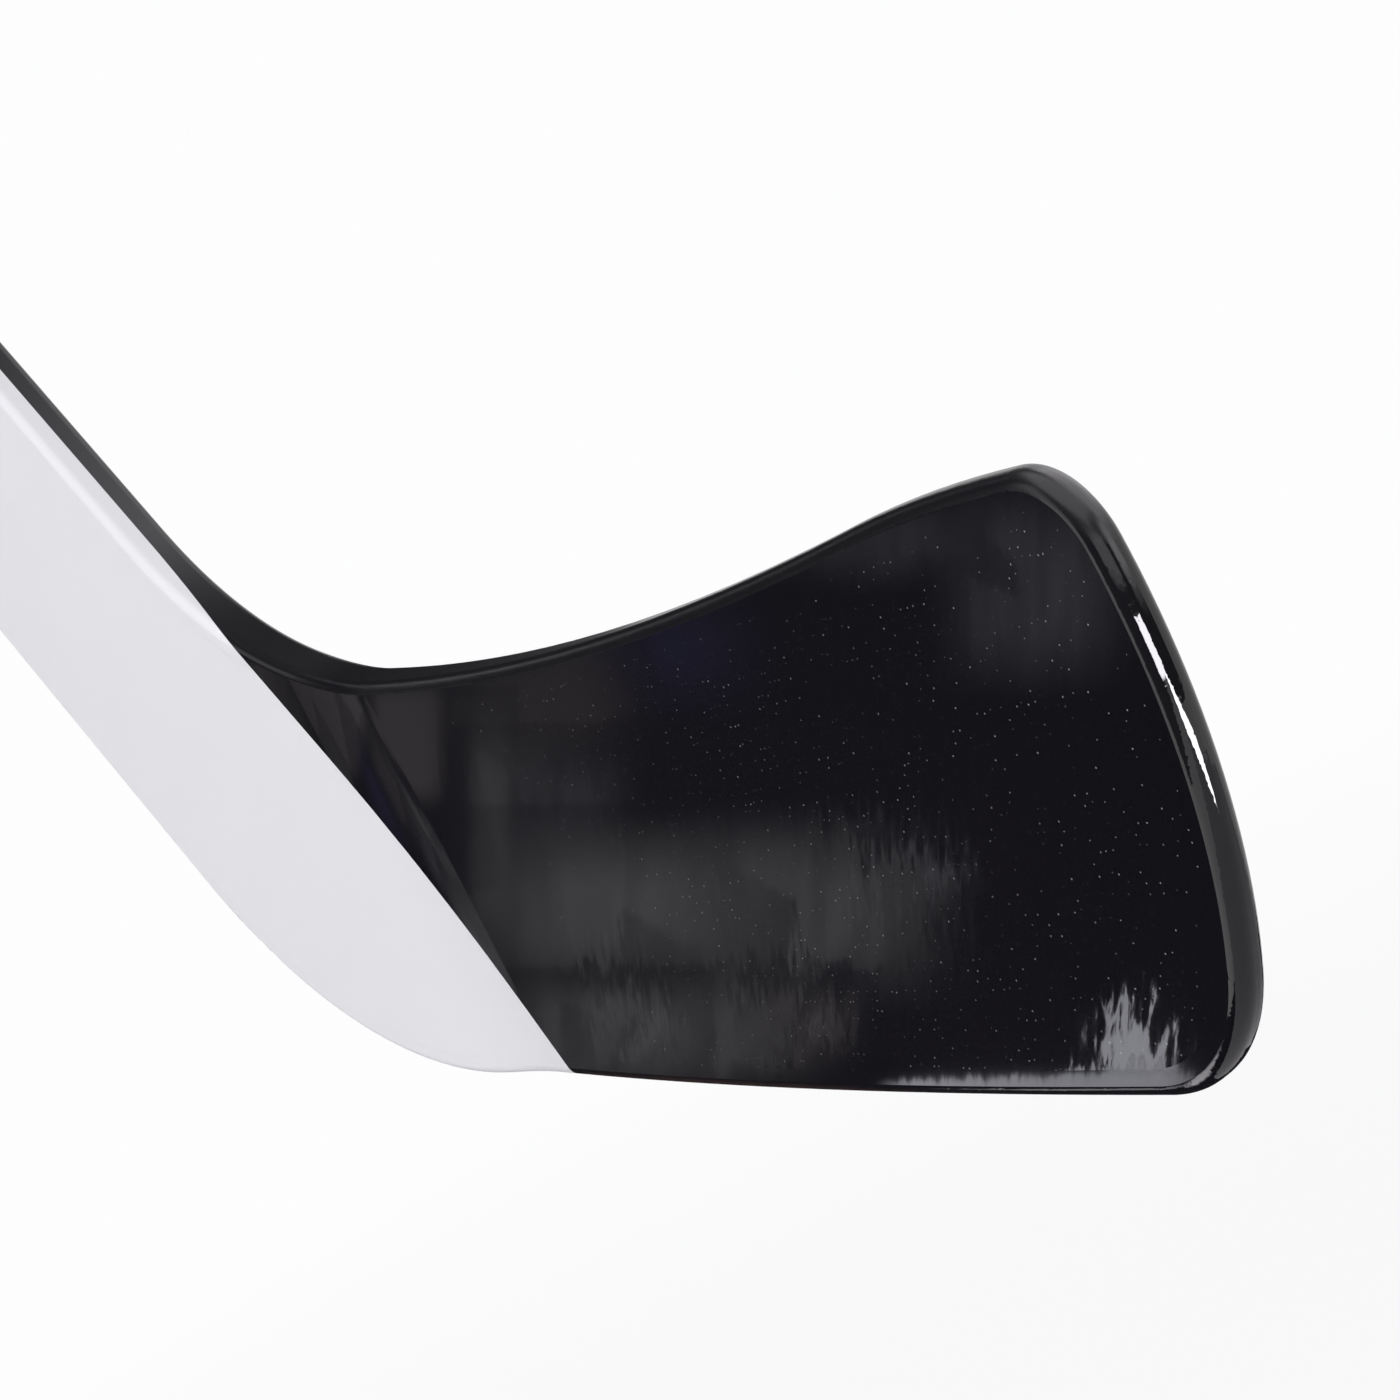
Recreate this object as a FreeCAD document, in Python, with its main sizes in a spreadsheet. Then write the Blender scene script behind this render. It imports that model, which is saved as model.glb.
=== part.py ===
import FreeCAD, Part
import math
import os

import Sketcher

# Hockey goalie stick with a foam-core paddle and blade.
# X runs from the heel to the toe, Y away from the forehand face, Z up from the ice.
# The origin lies on the ice, below the corner where the paddle's outer edge would meet the sole.
# In the paddle's own frame, u runs across the paddle from its outer edge and t runs up along it.

document = FreeCAD.newDocument("goalie_stick")
sheet = document.addObject("Spreadsheet::Sheet", "Sizes")

# Driving dimensions, in millimetres and degrees
DRIVING_SIZES = {
    "lie_angle": 118.75,
    "stick_length": 1480.0,
    # Blade outline
    "blade_length": 372.8,
    "toe_overhang": 27.0,
    "toe_height": 91.8,
    "crest_run": 58.0,
    "crest_height": 93.0,
    "throat_height": 107.5,
    "sole_rocker": 3.4,
    "toe_bulge": 11.9,
    "top_hollow": 7.8,
    "heel_radius": 129.0,
    "toe_bottom_radius": 38.4,
    "toe_top_radius": 13.8,
    "throat_radius": 109.0,
    # Blade bend and thickness
    "bend_place": 84.0,
    "bend_angle": 11.55,
    "bend_radius": 200.0,
    "toe_thickness": 4.8,
    # Paddle
    "paddle_width": 89.0,
    "paddle_length": 640.0,
    "paddle_thickness": 12.0,
    "shoulder_length": 70.0,
    "shoulder_tip": 6.0,
    # Skins, edge bands and the joints between the pieces
    "skin_thickness": 1.2,
    "skin_lap": 8.0,
    "edge_width": 5.0,
    "edge_radius": 2.3,
    "heel_joint": 135.0,
    "throat_run": 75.6,
    "toe_run": 74.0,
    "rib_place": 48.0,
    "rib_height": 4.0,
    # Handle
    "handle_width": 30.0,
    "handle_thickness": 20.0,
    "handle_edge_radius": 4.0,
    "scarf_length": 60.0,
    "cap_length": 20.0,
    "cap_edge_radius": 3.0,
    # How far a cutting solid runs past what it cuts
    "overrun": 20.0,
}

# Sizes and places that follow from the driving dimensions
DERIVED_SIZES = {
    "lean_x": "cos(lie_angle)",
    "lean_z": "sin(lie_angle)",
    "core_thickness": "paddle_thickness - 2 * skin_thickness",
    "handle_start": "(paddle_width - handle_width) / 2",
    "handle_end": "(paddle_width + handle_width) / 2",
    "cap_start": "stick_length - cap_length",
    "foam_end": "paddle_width - edge_width",
    "shoulder_end": "paddle_length + shoulder_length",
    "shoulder_run": "handle_start - shoulder_tip",
    "shoulder_radius": "(shoulder_run ^ 2 + shoulder_length ^ 2) / (2 * shoulder_run)",
    "shoulder_bulge": "shoulder_radius - sqrt(shoulder_radius ^ 2 - (shoulder_run ^ 2 + shoulder_length ^ 2) / 4)",
    "outer_tip": "handle_start - shoulder_tip",
    "inner_tip": "handle_end + shoulder_tip",
    "scarf_end": "paddle_length + scarf_length",
    "front_ply_face": "-handle_thickness / 2",
    "back_ply_face": "handle_thickness / 2",
    "handle_left": "-handle_width / 2",
    "handle_right": "handle_width / 2",
    # Corners of the outline, before their rounding
    "outline_top": "paddle_length + edge_width",
    "outer_top_x": "outline_top * lean_x",
    "outer_top_z": "sole_rocker + outline_top * lean_z",
    "inner_top_x": "outer_top_x + paddle_width * lean_z",
    "inner_top_z": "outer_top_z - paddle_width * lean_x",
    "throat_x": "(paddle_width + (throat_height - sole_rocker) * lean_x) / lean_z",
    "toe_tip_x": "blade_length + toe_overhang",
    "crest_place": "toe_tip_x - crest_run",
    # The short arc from the toe to the crest runs smoothly into the hollow of the top edge
    "top_slope": "atan((crest_height - throat_height) / (crest_place - throat_x))",
    "top_chord": "sqrt((crest_place - throat_x) ^ 2 + (crest_height - throat_height) ^ 2)",
    "crest_slope": "atan((toe_height - crest_height) / (toe_tip_x - crest_place))",
    "crest_chord": "sqrt((toe_tip_x - crest_place) ^ 2 + (toe_height - crest_height) ^ 2)",
    "crest_turn": "top_slope - crest_slope + 2 * atan(2 * top_hollow / top_chord)",
    "crest_bulge": "crest_chord / 2 * tan(crest_turn / 2)",
    "blank_depth": "2 * blade_length",
    # Joints between the pieces, each tied to the part of the outline that it keeps near
    "skin_joint": "paddle_width + skin_lap",
    "blade_joint": "throat_x + throat_run",
    "toe_joint": "toe_tip_x - toe_run",
    # Plan of the blade: how far each layer's faces lie from the paddle's middle plane
    "plan_start": "outer_top_x - overrun",
    "plan_end": "toe_tip_x + overrun",
    "plan_height": "2 * (inner_top_z + overrun)",
    "bend_drop": "(plan_end - bend_place) * tan(bend_angle)",
    "front_flat": "-paddle_thickness / 2",
    "front_end": "-bend_drop - toe_thickness / 2",
    "front_core_flat": "front_flat + skin_thickness",
    "front_core_end": "front_end + skin_thickness",
    "back_flat": "paddle_thickness / 2",
    "back_end": "-bend_drop + toe_thickness / 2",
    "back_core_flat": "back_flat - skin_thickness",
    "back_core_end": "back_end - skin_thickness",
    # Line that parts the toe side of the stick from its heel side
    "middle_top": "outline_top + paddle_width",
    "middle_top_x": "paddle_width / 2 * lean_z + middle_top * lean_x",
    "middle_top_z": "sole_rocker - paddle_width / 2 * lean_x + middle_top * lean_z",
    "middle_low_x": "paddle_width / 2 * lean_z + heel_joint * lean_x",
    "middle_low_z": "sole_rocker - paddle_width / 2 * lean_x + heel_joint * lean_z",
}

# Two faces whose normals have less than this share apart run smoothly into each other
SMOOTH_SHARE = 0.3
# A face whose normal has more than this share along the paddle is the paddle's cut end
END_SHARE = 0.97
# Stands for zero where a corner lies on an axis
LEVEL = "level"
ACROSS = FreeCAD.Vector(0, 1, 0)
UPWARD = FreeCAD.Vector(0, 0, 1)

row = 0
for name, number in DRIVING_SIZES.items():
    row += 1
    sheet.set(f"A{row}", name)
    sheet.set(f"B{row}", str(number))
    sheet.setAlias(f"B{row}", name)
for name, formula in DERIVED_SIZES.items():
    row += 1
    sheet.set(f"A{row}", name)
    sheet.set(f"B{row}", f"={formula}")
    sheet.setAlias(f"B{row}", name)
document.recompute()


def size(name):
    """Value of a named size, and zero for a place on an axis."""
    return 0.0 if name == LEVEL else getattr(sheet, name)


def cell(name):
    """Expression that reads a named size."""
    return "0" if name == LEVEL else f"Sizes.{name}"


def bulged_arc(start, end, bulge):
    """Arc from one corner to the next that swells to the right of that way by the bulge."""
    chord = end - start
    radius = (chord.Length ** 2 / 4 + bulge ** 2) / (2 * abs(bulge))
    outward = FreeCAD.Vector(chord.y, -chord.x, 0).normalize()
    centre = (start + end) / 2 + outward * (bulge - math.copysign(radius, bulge))
    first, last = (start, end) if bulge > 0 else (end, start)
    first_angle = math.atan2(first.y - centre.y, first.x - centre.x)
    last_angle = math.atan2(last.y - centre.y, last.x - centre.x)
    return Part.ArcOfCircle(Part.Circle(centre, UPWARD, radius), first_angle, last_angle)


def add_sketch(body, name, plane, corners, arcs=None):
    """Closed sketch through named corners, with the arcs given as edge number: (radius, bulge)."""
    arcs = arcs or {}
    sketch = body.newObject("Sketcher::SketchObject", name)
    support = next(item for item in body.Origin.OriginFeatures if item.Role == plane)
    sketch.AttachmentSupport = [(support, "")]
    sketch.MapMode = "FlatFace"
    points = [FreeCAD.Vector(size(across), size(along), 0) for across, along in corners]
    starts = []
    ends = []
    for number, start in enumerate(points):
        end = points[(number + 1) % len(points)]
        if number in arcs:
            bulge = arcs[number][1]
            sketch.addGeometry(bulged_arc(start, end, bulge))
            starts.append(1 if bulge > 0 else 2)
            ends.append(2 if bulge > 0 else 1)
        else:
            sketch.addGeometry(Part.LineSegment(start, end))
            starts.append(1)
            ends.append(2)
    for number, (across, along) in enumerate(corners):
        before = number - 1 if number else len(corners) - 1
        sketch.addConstraint(Sketcher.Constraint("Coincident", before, ends[before], number, starts[number]))
        for kind, place in (("DistanceX", across), ("DistanceY", along)):
            rule = Sketcher.Constraint(kind, -1, 1, number, starts[number], size(place))
            index = sketch.addConstraint(rule)
            sketch.setExpression(f"Constraints[{index}]", cell(place))
    for number, (radius, bulge) in arcs.items():
        curve = sketch.Geometry[number]
        index = sketch.addConstraint(Sketcher.Constraint("Radius", number, curve.Radius))
        sketch.setExpression(f"Constraints[{index}]", radius)
    return sketch


def add_pad(body, sketch, length, symmetric=True):
    """Solid of a sketch drawn out by a length, to both sides alike or to one."""
    pad = body.newObject("PartDesign::Pad", f"{body.Name}_pad")
    pad.Profile = sketch
    pad.SideType = "Symmetric" if symmetric else "One side"
    pad.setExpression("Length", length)
    document.recompute()
    return pad


def add_body(name):
    """Empty body with its label."""
    body = document.addObject("PartDesign::Body", name)
    body.Label = name
    return body


def edges_along(shape, direction, place):
    """Names of the straight edges in a direction whose line passes the place."""
    found = []
    for number, edge in enumerate(shape.Edges, start=1):
        if not isinstance(edge.Curve, Part.Line):
            continue
        if edge.Curve.Direction.cross(direction).Length > Part.Precision.angular():
            continue
        offset = edge.Vertexes[0].Point - place
        if offset.cross(direction).Length < Part.Precision.approximation():
            found.append(f"Edge{number}")
    return found


def round_edges(body, base, edges, radius):
    """Fillet with a bound radius on the named edges of a body's last feature."""
    fillet = body.newObject("PartDesign::Fillet", f"{body.Name}_{radius}")
    fillet.Base = (base, edges)
    fillet.setExpression("Radius", cell(radius))
    document.recompute()
    return fillet


def place_in_paddle(item, across="0", depth="0", along="0"):
    """Turn an object into the paddle's frame and set its place there."""
    item.Placement = FreeCAD.Placement(FreeCAD.Vector(), FreeCAD.Rotation(ACROSS, size("lie_angle")))
    item.setExpression("Placement.Rotation.Angle", "90 - Sizes.lie_angle")
    item.setExpression("Placement.Base.x", f"({across}) * Sizes.lean_z + ({along}) * Sizes.lean_x")
    item.setExpression("Placement.Base.y", depth)
    lift = f"({along}) * Sizes.lean_z - ({across}) * Sizes.lean_x"
    item.setExpression("Placement.Base.z", f"Sizes.sole_rocker + {lift}")


def paddle_box(name, across, along, depth):
    """Box in the paddle's frame, centred on the paddle's middle plane."""
    box = document.addObject("Part::Box", name)
    box.setExpression("Length", f"{across[1]} - ({across[0]})")
    box.setExpression("Width", depth)
    box.setExpression("Height", f"{along[1]} - ({along[0]})")
    place_in_paddle(box, across[0], f"-({depth}) / 2", along[0])
    return box


def blade_box(name, along, height):
    """Box across the blade from one X to another and from one height to another."""
    box = document.addObject("Part::Box", name)
    box.setExpression("Length", f"{along[1]} - ({along[0]})")
    box.setExpression("Width", "Sizes.blank_depth")
    box.setExpression("Height", f"{height[1]} - ({height[0]})")
    box.setExpression("Placement.Base.x", along[0])
    box.setExpression("Placement.Base.y", "-Sizes.blank_depth / 2")
    box.setExpression("Placement.Base.z", height[0])
    return box


def common(name, *shapes):
    """What several solids share."""
    result = document.addObject("Part::MultiCommon", name)
    result.Shapes = list(shapes)
    result.Refine = True
    return result


def cut(name, base, tool):
    """A solid less another."""
    result = document.addObject("Part::Cut", name)
    result.Base = base
    result.Tool = tool
    result.Refine = True
    return result


# Outline of the paddle and blade, as a prism across the stick


def arc_radius(start, end, bulge):
    """Expression for the radius of an arc between two corners that swells by a named bulge."""
    run = f"({cell(end[0])} - {cell(start[0])}) ^ 2"
    rise = f"({cell(end[1])} - {cell(start[1])}) ^ 2"
    return f"({run} + {rise}) / (8 * abs({cell(bulge)})) + abs({cell(bulge)}) / 2"


OUTLINE_CORNERS = {
    "outer_top": ("outer_top_x", "outer_top_z"),
    "heel": (LEVEL, "sole_rocker"),
    "toe_bottom": ("blade_length", "sole_rocker"),
    "toe_top": ("toe_tip_x", "toe_height"),
    "crest": ("crest_place", "crest_height"),
    "throat": ("throat_x", "throat_height"),
    "inner_top": ("inner_top_x", "inner_top_z"),
}
# Each swelling edge by the corner it starts from, with its bulge and which way it swells
OUTLINE_BULGES = {
    "heel": ("sole_rocker", 1),
    "toe_bottom": ("toe_bulge", 1),
    "toe_top": ("crest_bulge", 1),
    "crest": ("top_hollow", -1),
}
ROUNDED_CORNERS = ("heel", "toe_bottom", "toe_top", "throat")

corner_names = list(OUTLINE_CORNERS)
outline_arcs = {}
for corner, (bulge_name, way) in OUTLINE_BULGES.items():
    number = corner_names.index(corner)
    start_place = OUTLINE_CORNERS[corner]
    end_place = OUTLINE_CORNERS[corner_names[number + 1]]
    outline_arcs[number] = (arc_radius(start_place, end_place, bulge_name), way * size(bulge_name))

outline = add_body("outline")
outline_sketch = add_sketch(outline, "outline_sketch", "XZ_Plane", OUTLINE_CORNERS.values(), outline_arcs)
outline_step = add_pad(outline, outline_sketch, cell("blank_depth"))
for corner in ROUNDED_CORNERS:
    corner_x, corner_z = OUTLINE_CORNERS[corner]
    corner_place = FreeCAD.Vector(size(corner_x), 0, size(corner_z))
    corner_edges = edges_along(outline_step.Shape, ACROSS, corner_place)
    outline_step = round_edges(outline, outline_step, corner_edges, f"{corner}_radius")

inset = document.addObject("Part::Offset", "inset")
inset.Source = outline
inset.setExpression("Value", "-Sizes.edge_width")


# Layers through the stick's thickness, each a slab that follows the blade's bend


def add_layer(name, front, back):
    """Slab between two named faces of the plan."""
    body = add_body(name)
    corners = [
        ("plan_start", f"{front}_flat"),
        ("bend_place", f"{front}_flat"),
        ("plan_end", f"{front}_end"),
        ("plan_end", f"{back}_end"),
        ("bend_place", f"{back}_flat"),
        ("plan_start", f"{back}_flat"),
    ]
    step = add_pad(body, add_sketch(body, f"{name}_sketch", "XY_Plane", corners), cell("plan_height"))
    bends = []
    for face in (front, back):
        bends += edges_along(step.Shape, UPWARD, FreeCAD.Vector(size("bend_place"), size(f"{face}_flat"), 0))
    round_edges(body, step, bends, "bend_radius")
    return body


full_layer = add_layer("full_layer", "front", "back")
front_layer = add_layer("front_layer", "front", "front_core")
core_layer = add_layer("core_layer", "front_core", "back_core")
back_layer = add_layer("back_layer", "back_core", "back")

# The blank with its rim rounded, and the band of edge pieces round it

blank = common("blank", outline, full_layer)
document.recompute()


def is_rim(shape, edge):
    """Whether two faces meet at a real edge here, away from the paddle's cut end."""
    faces = shape.ancestorsOfType(edge, Part.Face)
    if len(faces) != 2:
        return False
    middle = edge.valueAt((edge.FirstParameter + edge.LastParameter) / 2)
    first, second = (face.normalAt(*face.Surface.parameter(middle)) for face in faces)
    paddle_way = FreeCAD.Vector(size("lean_x"), 0, size("lean_z"))
    at_end = max(abs(first.dot(paddle_way)), abs(second.dot(paddle_way))) > END_SHARE
    return not at_end and first.cross(second).Length > SMOOTH_SHARE


rim = document.addObject("Part::Fillet", "rim")
rim.Base = blank
rim.Edges = [
    (number, size("edge_radius"), size("edge_radius"))
    for number, edge in enumerate(blank.Shape.Edges, start=1)
    if is_rim(blank.Shape, edge)
]

# Zones that part the band, the skins and the core

toe_side = add_body("toe_side")
TOE_SIDE_CORNERS = [
    ("middle_top_x", "middle_top_z"),
    ("middle_low_x", "middle_low_z"),
    ("blade_joint", "rib_place"),
    ("blade_joint", "middle_top_z"),
]
toe_side_sketch = add_sketch(toe_side, "toe_side_sketch", "XZ_Plane", TOE_SIDE_CORNERS)
add_pad(toe_side, toe_side_sketch, cell("blank_depth"))

past_outer = "-Sizes.overrun"
past_inner = "Sizes.paddle_width + Sizes.overrun"
paddle_span = ("Sizes.heel_joint", "Sizes.paddle_length")
end_span = ("Sizes.paddle_length", "Sizes.middle_top")
white_span = ("-Sizes.blade_length", "Sizes.paddle_length")
zone_depth = "2 * Sizes.paddle_thickness"
paddle_zone = paddle_box("paddle_zone", (past_outer, past_inner), paddle_span, zone_depth)
end_zone = paddle_box("end_zone", (past_outer, past_inner), end_span, zone_depth)
white_zone = paddle_box("white_zone", (past_outer, "Sizes.skin_joint"), white_span, "Sizes.blank_depth")

below = "-Sizes.overrun"
above = "Sizes.throat_height + Sizes.overrun"
rib_bottom = "Sizes.rib_place - Sizes.rib_height / 2"
rib_top = "Sizes.rib_place + Sizes.rib_height / 2"
whole_blade = ("Sizes.blade_joint", "Sizes.plan_end")
middle_blade = ("Sizes.blade_joint", "Sizes.toe_joint")
toe_part = ("Sizes.toe_joint", "Sizes.plan_end")
blade_zone = blade_box("blade_zone", whole_blade, (below, above))
top_zone = blade_box("top_zone", middle_blade, ("Sizes.rib_place", above))
sole_zone = blade_box("sole_zone", middle_blade, (below, "Sizes.rib_place"))
toe_zone = blade_box("toe_zone", toe_part, (below, above))
upper_zone = blade_box("upper_zone", whole_blade, (rib_top, above))
rib_zone = blade_box("rib_zone", whole_blade, (rib_bottom, rib_top))
lower_zone = blade_box("lower_zone", whole_blade, (below, rib_bottom))

# Edge bands

band = cut("band", cut("trimmed_rim", rim, end_zone), inset)
paddle_band = common("paddle_band", band, paddle_zone)
lower_band = cut("lower_band", band, paddle_zone)
paddle_inner_edge = common("paddle_inner_edge", paddle_band, toe_side)
paddle_outer_edge = cut("paddle_outer_edge", paddle_band, toe_side)
throat_edge = common("throat_edge", lower_band, toe_side)
heel_edge = cut("heel_edge", cut("heel_band", lower_band, toe_side), blade_zone)
blade_top_edge = common("blade_top_edge", lower_band, top_zone)
sole_edge = common("sole_edge", lower_band, sole_zone)
toe_edge = common("toe_edge", lower_band, toe_zone)

# Skins

front_skin = common("front_skin", inset, front_layer)
back_skin = common("back_skin", inset, back_layer)
paddle_front_skin = common("paddle_front_skin", front_skin, white_zone)
blade_front_skin = cut("blade_front_skin", front_skin, white_zone)
paddle_back_skin = common("paddle_back_skin", back_skin, white_zone)
blade_back_skin = cut("blade_back_skin", back_skin, white_zone)

# Core of the heel and blade

core = common("core", inset, core_layer)
heel_block = cut("heel_block", cut("heel_core", core, blade_zone), paddle_zone)
blade_upper_foam = common("blade_upper_foam", core, upper_zone)
blade_rib = common("blade_rib", core, rib_zone)
blade_lower_foam = common("blade_lower_foam", core, lower_zone)

# Core of the paddle, with the handle's middle ply running down through it as a tongue

core_depth = "Sizes.core_thickness"
outer_foam_span = ("Sizes.edge_width", "Sizes.handle_start")
inner_foam_span = ("Sizes.handle_end", "Sizes.foam_end")
handle_span = ("Sizes.handle_start", "Sizes.handle_end")
tongue_span = ("Sizes.heel_joint", "Sizes.cap_start")
paddle_outer_foam = paddle_box("paddle_outer_foam", outer_foam_span, paddle_span, core_depth)
paddle_inner_foam = paddle_box("paddle_inner_foam", inner_foam_span, paddle_span, core_depth)
handle_core = paddle_box("handle_core", handle_span, tongue_span, core_depth)

# Outer plies of the handle, scarfed down to the paddle's faces


def add_ply(name, face):
    """Ply on the front or back of the handle's core, with its two long outer edges rounded."""
    body = add_body(name)
    corners = [
        (f"{face}_core_flat", "paddle_length"),
        (f"{face}_flat", "paddle_length"),
        (f"{face}_ply_face", "scarf_end"),
        (f"{face}_ply_face", "cap_start"),
        (f"{face}_core_flat", "cap_start"),
    ]
    step = add_pad(body, add_sketch(body, f"{name}_sketch", "YZ_Plane", corners), cell("handle_width"))
    long_edges = []
    for side in ("handle_left", "handle_right"):
        place = FreeCAD.Vector(size(side), size(f"{face}_ply_face"), 0)
        long_edges += edges_along(step.Shape, UPWARD, place)
    round_edges(body, step, long_edges, "handle_edge_radius")
    place_in_paddle(body, "Sizes.paddle_width / 2")
    return body


handle_front_ply = add_ply("handle_front_ply", "front")
handle_back_ply = add_ply("handle_back_ply", "back")

# Shoulder blocks that round the paddle in to the handle


def add_shoulder(name, corners, arc_number):
    """Block beside the handle whose curved side carries on the paddle's rounded edge."""
    body = add_body(name)
    arcs = {arc_number: (cell("shoulder_radius"), size("shoulder_bulge"))}
    step = add_pad(body, add_sketch(body, f"{name}_sketch", "XZ_Plane", corners, arcs), cell("paddle_thickness"))
    curved_edges = []
    for number, edge in enumerate(step.Shape.Edges, start=1):
        if isinstance(edge.Curve, Part.Circle):
            curved_edges.append(f"Edge{number}")
    round_edges(body, step, curved_edges, "edge_radius")
    place_in_paddle(body)
    return body


INNER_SHOULDER_CORNERS = [
    ("handle_end", "paddle_length"),
    ("paddle_width", "paddle_length"),
    ("inner_tip", "shoulder_end"),
    ("handle_end", "shoulder_end"),
]
OUTER_SHOULDER_CORNERS = [
    ("handle_start", "shoulder_end"),
    ("outer_tip", "shoulder_end"),
    (LEVEL, "paddle_length"),
    ("handle_start", "paddle_length"),
]
paddle_inner_shoulder = add_shoulder("paddle_inner_shoulder", INNER_SHOULDER_CORNERS, 1)
paddle_outer_shoulder = add_shoulder("paddle_outer_shoulder", OUTER_SHOULDER_CORNERS, 1)

# Cap on the handle's end

butt_cap = add_body("butt_cap")
CAP_CORNERS = [
    ("handle_left", "front_ply_face"),
    ("handle_right", "front_ply_face"),
    ("handle_right", "back_ply_face"),
    ("handle_left", "back_ply_face"),
]
cap_sketch = add_sketch(butt_cap, "cap_sketch", "XY_Plane", CAP_CORNERS)
cap_step = add_pad(butt_cap, cap_sketch, cell("cap_length"), symmetric=False)
cap_sides = []
for corner_across, corner_depth in CAP_CORNERS:
    corner_place = FreeCAD.Vector(size(corner_across), size(corner_depth), 0)
    cap_sides += edges_along(cap_step.Shape, UPWARD, corner_place)
cap_step = round_edges(butt_cap, cap_step, cap_sides, "handle_edge_radius")
cap_rim = [
    f"Edge{number}"
    for number, edge in enumerate(cap_step.Shape.Edges, start=1)
    if edge.BoundBox.ZMin > size("cap_length") / 2
]
round_edges(butt_cap, cap_step, cap_rim, "cap_edge_radius")
place_in_paddle(butt_cap, "Sizes.paddle_width / 2", "0", "Sizes.cap_start")

# Every piece of the stick, each a solid of its own

pieces = [
    handle_core,
    handle_front_ply,
    handle_back_ply,
    butt_cap,
    paddle_front_skin,
    paddle_back_skin,
    paddle_inner_edge,
    paddle_outer_edge,
    paddle_inner_foam,
    paddle_outer_foam,
    paddle_inner_shoulder,
    paddle_outer_shoulder,
    heel_block,
    heel_edge,
    throat_edge,
    blade_front_skin,
    blade_back_skin,
    blade_upper_foam,
    blade_rib,
    blade_lower_foam,
    blade_top_edge,
    toe_edge,
    sole_edge,
]

document.recompute()
for item in document.Objects:
    if "Invalid" in item.State or "Error" in item.State:
        raise RuntimeError(f"{item.Label} failed: {item.State}")
for piece in pieces:
    if piece.Shape.isNull() or not piece.Shape.isValid() or len(piece.Shape.Solids) != 1:
        raise RuntimeError(f"{piece.Label} is not one valid solid")

os.makedirs("parts", exist_ok=True)
for piece in pieces:
    piece.Shape.exportStep(f"parts/{piece.Label}.step")
    print(f"{piece.Label}: {piece.Shape.Volume:.0f} cubic millimetres")
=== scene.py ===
"""Looks of a hockey goalie stick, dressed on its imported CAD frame.

The frame is in metres: X from the heel to the toe, Y away from the forehand face, Z up from the ice.
"""
import logging
import math
from dataclasses import dataclass, field
from enum import Enum
from typing import Callable, Union

import bpy
from mathutils import Matrix, Vector


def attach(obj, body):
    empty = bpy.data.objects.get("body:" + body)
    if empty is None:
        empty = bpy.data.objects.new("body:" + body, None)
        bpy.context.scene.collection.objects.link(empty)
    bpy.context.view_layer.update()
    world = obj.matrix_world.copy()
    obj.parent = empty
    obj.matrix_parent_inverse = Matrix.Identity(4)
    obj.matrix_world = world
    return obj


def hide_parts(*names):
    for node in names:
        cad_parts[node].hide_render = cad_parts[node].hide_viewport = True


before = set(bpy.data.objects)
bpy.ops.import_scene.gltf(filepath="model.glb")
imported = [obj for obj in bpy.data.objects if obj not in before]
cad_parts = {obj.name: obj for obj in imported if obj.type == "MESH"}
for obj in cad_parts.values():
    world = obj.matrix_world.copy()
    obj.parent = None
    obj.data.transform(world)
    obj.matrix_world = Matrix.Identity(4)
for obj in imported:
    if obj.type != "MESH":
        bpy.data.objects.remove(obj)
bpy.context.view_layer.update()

LOG = logging.getLogger("goalie_stick")
BODY = "root"
MM = 0.001

Colour = tuple[float, float, float]
Place = tuple[float, float, float]
Socket = bpy.types.NodeSocket
Value = Union[bpy.types.NodeSocket, float, tuple[float, ...]]

TO_THE_TOE = (1.0, 0.0, 0.0)
TO_THE_HEEL = (-1.0, 0.0, 0.0)
TO_THE_BACK = (0.0, 1.0, 0.0)
UP = (0.0, 0.0, 1.0)
DOWN = (0.0, 0.0, -1.0)

NOISE_MIDDLE = 0.5
STUDIO_WHITE = (0.985, 0.985, 0.99)


class Slot(Enum):
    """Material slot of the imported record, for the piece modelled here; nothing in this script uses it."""

    END_CAP = "end_cap"


class Mixed(Enum):
    """What a mix node blends: its data type, the number of its first input and that of its output."""

    NUMBER = ("FLOAT", 2, 0)
    DIRECTION = ("VECTOR", 4, 1)
    COLOUR = ("RGBA", 6, 2)


@dataclass(frozen=True)
class StickFrame:
    """Places that the finishes share, as the CAD source has them."""

    lie: float = math.radians(118.75)
    sole_rocker: float = 3.4 * MM
    paddle_width: float = 89.0 * MM
    half_thickness: float = 6.0 * MM
    paint_line: float = 97.0 * MM
    paint_slant: float = 1.387
    paint_back: float = -0.2 * MM

    @property
    def across(self) -> Vector:
        """Direction across the paddle, from its outer edge to the toe side."""
        return Vector((math.sin(self.lie), 0.0, -math.cos(self.lie)))

    def up_paddle(self, height: float) -> Matrix:
        """Place on the paddle's middle line, with X across the paddle and Z up along it.

        Args:
            height: distance up the paddle from its lower corner, in metres.

        Returns:
            The place as a matrix.
        """
        middle = Vector((0.0, 0.0, self.sole_rocker)) + self.across * self.paddle_width / 2
        turned = Matrix.Rotation(math.pi / 2 - self.lie, 4, "Y")
        return Matrix.Translation(middle) @ turned @ Matrix.Translation((0.0, 0.0, height))


STICK = StickFrame()


@dataclass(frozen=True)
class Noise:
    """Soft noise, by its waves in a metre and the finer layers on top of them."""

    waves: float
    layers: float = 2.0


@dataclass(frozen=True)
class Grain:
    """Noise drawn out in one direction, as fibres and wood grain are, and turned about Y."""

    waves: tuple[float, float, float]
    layers: float = 2.0
    turn: float = 0.0


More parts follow.
